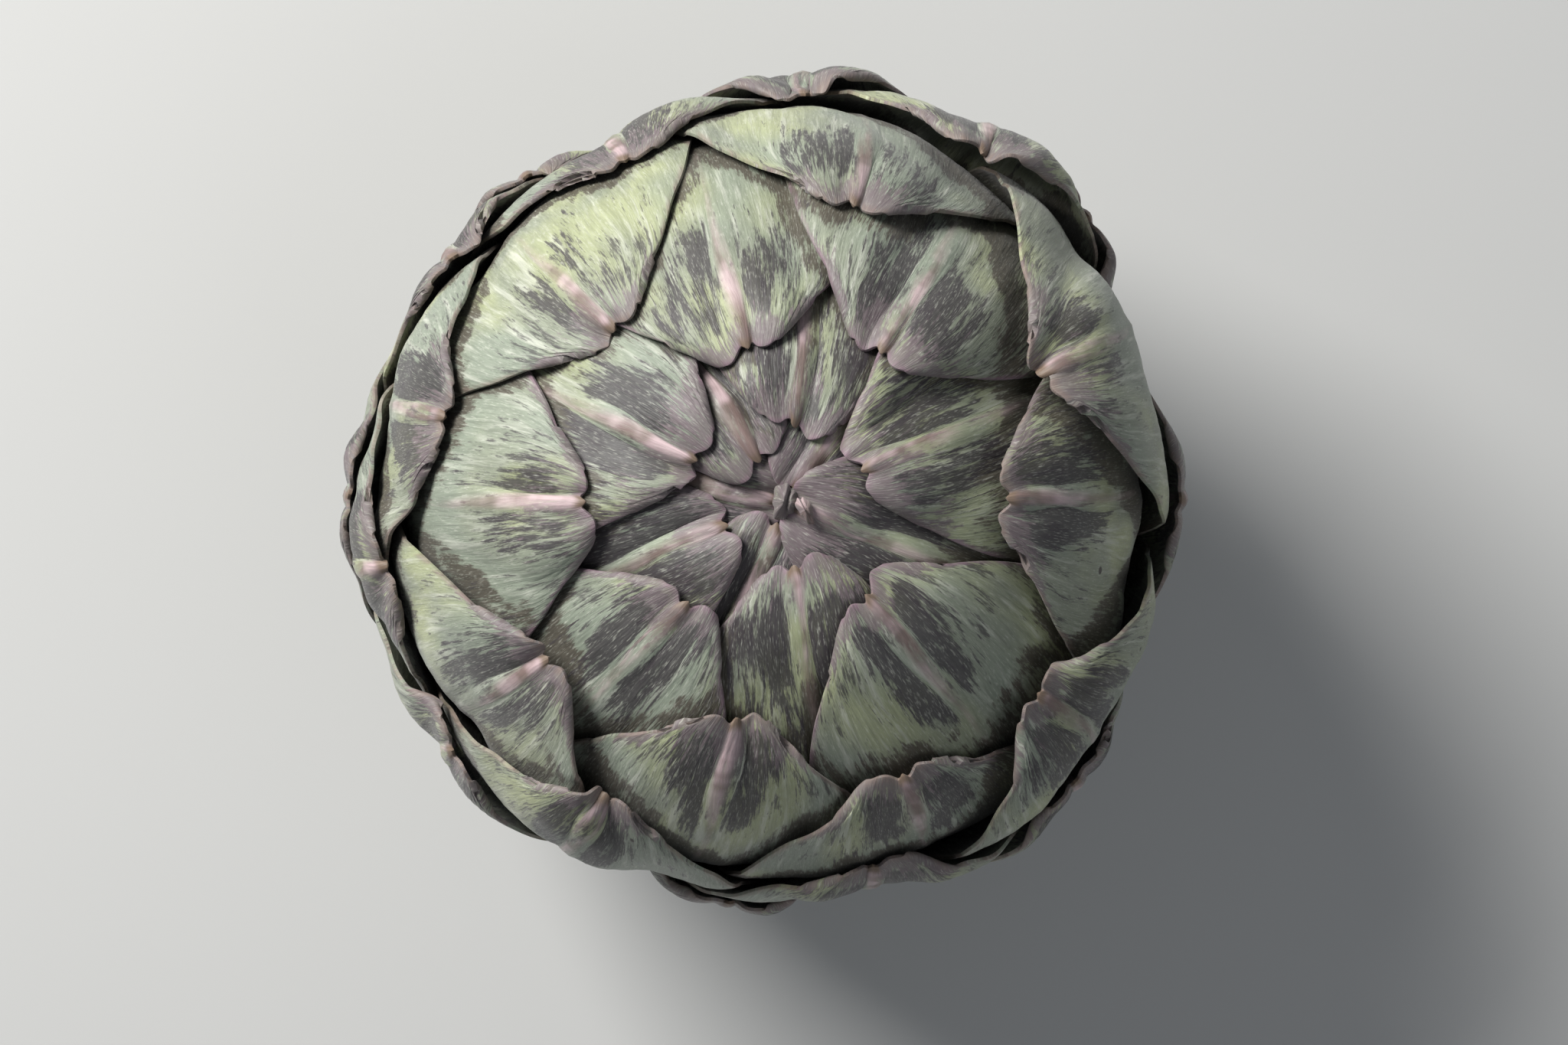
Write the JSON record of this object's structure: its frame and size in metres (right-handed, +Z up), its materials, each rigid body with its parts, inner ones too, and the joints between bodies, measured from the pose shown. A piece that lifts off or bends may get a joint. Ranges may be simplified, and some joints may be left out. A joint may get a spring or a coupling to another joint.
{
  "type": "globe artichoke",
  "caption": "Closed globe artichoke head of overlapping notched bracts round a fleshy heart, standing on its short cut stem.",
  "frame": {"origin": "middle of the stem's flat cut face, which the head stands on", "axes": "+Z up along the stem, towards the crown; +X and +Y level, chosen so that the crown leans towards +X"},
  "size_m": [0.1117, 0.1118, 0.1049],
  "materials": {
    "centre_bract_01_skin": "matt, faintly downy leaf skin",
    "centre_bract_02_skin": "matt, faintly downy leaf skin",
    "centre_bract_03_skin": "matt, faintly downy leaf skin",
    "centre_bract_04_skin": "matt, faintly downy leaf skin",
    "centre_bract_05_skin": "matt, faintly downy leaf skin",
    "centre_bract_06_skin": "matt, faintly downy leaf skin",
    "centre_bract_07_skin": "matt, faintly downy leaf skin",
    "crown_bract_08_skin": "matt, faintly downy leaf skin",
    "crown_bract_09_skin": "matt, faintly downy leaf skin",
    "crown_bract_10_skin": "matt, faintly downy leaf skin",
    "crown_bract_11_skin": "matt, faintly downy leaf skin",
    "crown_bract_12_skin": "matt, faintly downy leaf skin",
    "crown_bract_13_skin": "matt, faintly downy leaf skin",
    "crown_bract_14_skin": "matt, faintly downy leaf skin",
    "crown_bract_15_skin": "matt, faintly downy leaf skin",
    "crown_bract_16_skin": "matt, faintly downy leaf skin",
    "crown_bract_17_skin": "matt, faintly downy leaf skin",
    "crown_bract_18_skin": "matt, faintly downy leaf skin",
    "crown_bract_19_skin": "matt, faintly downy leaf skin",
    "crown_bract_20_skin": "matt, faintly downy leaf skin",
    "foot_bract_44_skin": "matt, faintly downy leaf skin",
    "foot_bract_45_skin": "matt, faintly downy leaf skin",
    "foot_bract_46_skin": "matt, faintly downy leaf skin",
    "foot_bract_47_skin": "matt, faintly downy leaf skin",
    "foot_bract_48_skin": "matt, faintly downy leaf skin",
    "heart_skin": "matt, fibrous where it was cut",
    "shoulder_bract_21_skin": "matt, faintly downy leaf skin",
    "shoulder_bract_22_skin": "matt, faintly downy leaf skin",
    "shoulder_bract_23_skin": "matt, faintly downy leaf skin",
    "shoulder_bract_24_skin": "matt, faintly downy leaf skin",
    "shoulder_bract_25_skin": "matt, faintly downy leaf skin",
    "shoulder_bract_26_skin": "matt, faintly downy leaf skin",
    "shoulder_bract_27_skin": "matt, faintly downy leaf skin",
    "shoulder_bract_28_skin": "matt, faintly downy leaf skin",
    "shoulder_bract_29_skin": "matt, faintly downy leaf skin",
    "shoulder_bract_30_skin": "matt, faintly downy leaf skin",
    "shoulder_bract_31_skin": "matt, faintly downy leaf skin",
    "side_bract_32_skin": "matt, faintly downy leaf skin",
    "side_bract_33_skin": "matt, faintly downy leaf skin",
    "side_bract_34_skin": "matt, faintly downy leaf skin",
    "side_bract_35_skin": "matt, faintly downy leaf skin",
    "side_bract_36_skin": "matt, faintly downy leaf skin",
    "side_bract_37_skin": "matt, faintly downy leaf skin",
    "side_bract_38_skin": "matt, faintly downy leaf skin",
    "side_bract_39_skin": "matt, faintly downy leaf skin",
    "side_bract_40_skin": "matt, faintly downy leaf skin",
    "side_bract_41_skin": "matt, faintly downy leaf skin",
    "side_bract_42_skin": "matt, faintly downy leaf skin",
    "side_bract_43_skin": "matt, faintly downy leaf skin"
  },
  "bodies": {
    "root": {"centre_bract_01": "centre_bract_01_skin", "centre_bract_02": "centre_bract_02_skin", "centre_bract_03": "centre_bract_03_skin", "centre_bract_04": "centre_bract_04_skin", "centre_bract_05": "centre_bract_05_skin", "centre_bract_06": "centre_bract_06_skin", "centre_bract_07": "centre_bract_07_skin", "crown_bract_08": "crown_bract_08_skin", "crown_bract_09": "crown_bract_09_skin", "crown_bract_10": "crown_bract_10_skin", "crown_bract_11": "crown_bract_11_skin", "crown_bract_12": "crown_bract_12_skin", "crown_bract_13": "crown_bract_13_skin", "crown_bract_14": "crown_bract_14_skin", "crown_bract_15": "crown_bract_15_skin", "crown_bract_16": "crown_bract_16_skin", "crown_bract_17": "crown_bract_17_skin", "crown_bract_18": "crown_bract_18_skin", "crown_bract_19": "crown_bract_19_skin", "crown_bract_20": "crown_bract_20_skin", "foot_bract_44": "foot_bract_44_skin", "foot_bract_45": "foot_bract_45_skin", "foot_bract_46": "foot_bract_46_skin", "foot_bract_47": "foot_bract_47_skin", "foot_bract_48": "foot_bract_48_skin", "heart": "heart_skin", "shoulder_bract_21": "shoulder_bract_21_skin", "shoulder_bract_22": "shoulder_bract_22_skin", "shoulder_bract_23": "shoulder_bract_23_skin", "shoulder_bract_24": "shoulder_bract_24_skin", "shoulder_bract_25": "shoulder_bract_25_skin", "shoulder_bract_26": "shoulder_bract_26_skin", "shoulder_bract_27": "shoulder_bract_27_skin", "shoulder_bract_28": "shoulder_bract_28_skin", "shoulder_bract_29": "shoulder_bract_29_skin", "shoulder_bract_30": "shoulder_bract_30_skin", "shoulder_bract_31": "shoulder_bract_31_skin", "side_bract_32": "side_bract_32_skin", "side_bract_33": "side_bract_33_skin", "side_bract_34": "side_bract_34_skin", "side_bract_35": "side_bract_35_skin", "side_bract_36": "side_bract_36_skin", "side_bract_37": "side_bract_37_skin", "side_bract_38": "side_bract_38_skin", "side_bract_39": "side_bract_39_skin", "side_bract_40": "side_bract_40_skin", "side_bract_41": "side_bract_41_skin", "side_bract_42": "side_bract_42_skin", "side_bract_43": "side_bract_43_skin"}
  },
  "joints": []
}
